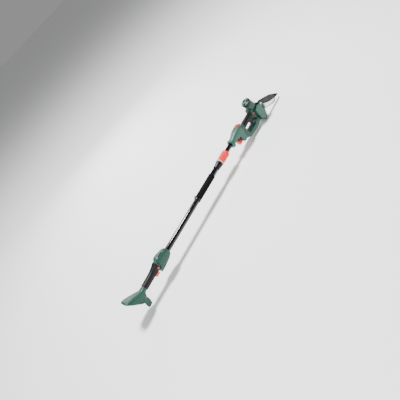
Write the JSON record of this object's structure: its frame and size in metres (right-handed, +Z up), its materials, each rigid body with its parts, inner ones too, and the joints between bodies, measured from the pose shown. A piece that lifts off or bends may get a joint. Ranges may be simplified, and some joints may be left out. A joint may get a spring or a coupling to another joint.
{
  "type": "telescoping pole saw",
  "caption": "Cordless pruning chain saw on a telescoping pole, with a battery-seat handle, twist lock and release head.",
  "frame": {"origin": "centre of the battery seat's terminal block face, on the handle's battery foot", "axes": "+X up the pole towards the saw, +Y to the left, +Z up, away from the triggers"},
  "size_m": [1.5305, 0.0792, 0.1807],
  "materials": {
    "green_housing": "moulded green plastic, fine spark texture",
    "cover_green": "moulded green plastic, slightly paler",
    "soft_grip": "soft black overmould",
    "foam": "black foam sleeve",
    "black_plastic": "black moulded plastic",
    "red_plastic": "coral red moulded plastic",
    "pale_plastic": "pale grey plastic",
    "black_tube": "gloss black coated tube",
    "contact_brass": "plated contact blades",
    "red_lead": "insulated lead",
    "black_lead": "insulated lead",
    "circuit_board": "green circuit board",
    "bright_steel": "plain turned steel",
    "bar_steel": "ground steel plate",
    "chain_steel": "oiled dark steel",
    "gearbox_metal": "die-cast metal",
    "rotor_copper": "wound armature on a steel shaft"
  },
  "bodies": {
    "handle": {"handle_shell_left": "green_housing", "handle_shell_right": "green_housing", "handle_grip_cover": "soft_grip", "battery_terminal_block": "black_plastic", "terminal_positive": "contact_brass", "terminal_negative": "contact_brass", "handle_switch": "black_plastic", "supply_lead": "red_lead", "pole_supply_lead": "black_lead", "handle_screw": "bright_steel", "handle_trigger_spring": "bright_steel", "outer_tube": "black_tube", "foam_grip": "foam", "strap_lug": "black_plastic", "lock_collar": "black_plastic", "clamp_collet": "pale_plastic"},
    "handle_trigger": {"handle_trigger": "red_plastic"},
    "handle_lock_off": {"handle_lock_off": "red_plastic"},
    "lock_sleeve": {"lock_sleeve": "red_plastic", "sleeve_ring": "pale_plastic"},
    "inner_pole": {"inner_tube": "black_tube", "guide_bush": "pale_plastic", "pole_lead": "black_lead", "adapter_flange": "green_housing", "adapter_shell_left": "green_housing", "adapter_shell_right": "green_housing", "adapter_deck": "black_plastic"},
    "release_button": {"release_button": "red_plastic"},
    "clamp_knob": {"clamp_knob": "red_plastic", "clamp_spindle": "black_plastic"},
    "saw": {"saw_shell_left": "green_housing", "saw_shell_right": "green_housing", "saw_grip_cover": "soft_grip", "saw_terminal_block": "black_plastic", "saw_terminal_positive": "contact_brass", "saw_terminal_negative": "contact_brass", "saw_switch": "black_plastic", "control_board": "circuit_board", "saw_trigger_spring": "bright_steel", "motor_can": "bright_steel", "motor_end_cap": "black_plastic", "gearbox_housing": "gearbox_metal", "shaft_bearing": "bright_steel", "guide_bar": "bar_steel", "saw_chain": "chain_steel", "bar_stud": "bright_steel", "tension_screw": "bright_steel", "sprocket_cover": "cover_green", "guard_pin": "bright_steel"},
    "saw_trigger": {"saw_trigger": "black_plastic"},
    "saw_lock_off": {"saw_lock_off": "red_plastic"},
    "rotor": {"motor_rotor": "rotor_copper", "cooling_fan": "pale_plastic", "bevel_pinion": "bright_steel"},
    "sprocket": {"sprocket_shaft": "bright_steel", "bevel_gear": "bright_steel", "drive_sprocket": "bright_steel"},
    "nose_sprocket": {"nose_sprocket": "bright_steel"},
    "chain_guard": {"chain_guard": "black_plastic"},
    "bar_nut": {"bar_nut": "black_plastic"}
  },
  "joints": [
    {"name": "handle_trigger_press", "type": "slide", "parent": "handle", "child": "handle_trigger", "axis": [0, 0, 1], "range_m": [0, 0.006], "stiffness_N_per_m": 400, "springref_m": -0.004, "deforming": ["handle_trigger_spring"]},
    {"name": "handle_lock_off_press", "type": "slide", "parent": "handle", "child": "handle_lock_off", "axis": [0, 1, 0], "range_m": [0, 0.004], "stiffness_N_per_m": 300, "springref_m": -0.003},
    {"name": "sleeve_twist", "type": "hinge", "parent": "handle", "child": "lock_sleeve", "pos_m": [0.92, 0, 0], "axis": [1, 0, 0], "range_deg": [0, 120]},
    {"name": "pole_slide", "type": "slide", "parent": "handle", "child": "inner_pole", "axis": [1, 0, 0], "range_m": [0, 0.45]},
    {"name": "release_press", "type": "slide", "parent": "inner_pole", "child": "release_button", "axis": [0, 0, -1], "range_m": [0, 0.0024], "stiffness_N_per_m": 400, "springref_m": -0.003},
    {"name": "clamp_knob_turn", "type": "hinge", "parent": "inner_pole", "child": "clamp_knob", "pos_m": [1.069, 0, -0.042], "axis": [1, 0, 0], "range_deg": [0, 1080]},
    {"name": "saw_slide_off", "type": "slide", "parent": "inner_pole", "child": "saw", "axis": [-0.0698, 0, -0.9976], "range_m": [0, 0.085]},
    {"name": "saw_trigger_press", "type": "slide", "parent": "saw", "child": "saw_trigger", "axis": [0, 0, 1], "range_m": [0, 0.005], "stiffness_N_per_m": 400, "springref_m": -0.004, "deforming": ["saw_trigger_spring"]},
    {"name": "saw_lock_off_press", "type": "slide", "parent": "saw", "child": "saw_lock_off", "axis": [0, 1, 0], "range_m": [0, 0.004], "stiffness_N_per_m": 300, "springref_m": -0.003},
    {"name": "motor_spin", "type": "hinge", "parent": "saw", "child": "rotor", "pos_m": [1.305, 0, -0.021], "axis": [-0.2924, 0, 0.9563], "continuous": true},
    {"name": "sprocket_spin", "type": "hinge", "parent": "saw", "child": "sprocket", "pos_m": [1.305, 0, -0.021], "axis": [0, -1, 0], "continuous": true},
    {"name": "nose_sprocket_spin", "type": "hinge", "parent": "saw", "child": "nose_sprocket", "pos_m": [1.43757, 0, -0.07189], "axis": [0, -1, 0], "continuous": true},
    {"name": "guard_swing", "type": "hinge", "parent": "saw", "child": "chain_guard", "pos_m": [1.331, 0, -0.001], "axis": [0, -1, 0], "range_deg": [0, 60], "stiffness_Nm_per_rad": 0.06, "springref_deg": -28.65},
    {"name": "bar_nut_turn", "type": "hinge", "parent": "saw", "child": "bar_nut", "pos_m": [1.33954, 0, -0.03426], "axis": [0, -1, 0], "range_deg": [0, 720]}
  ],
  "couplings": [
    {"joint": "sprocket_spin", "follows": "motor_spin", "ratio": -0.33333},
    {"joint": "nose_sprocket_spin", "follows": "motor_spin", "ratio": -0.25926}
  ]
}
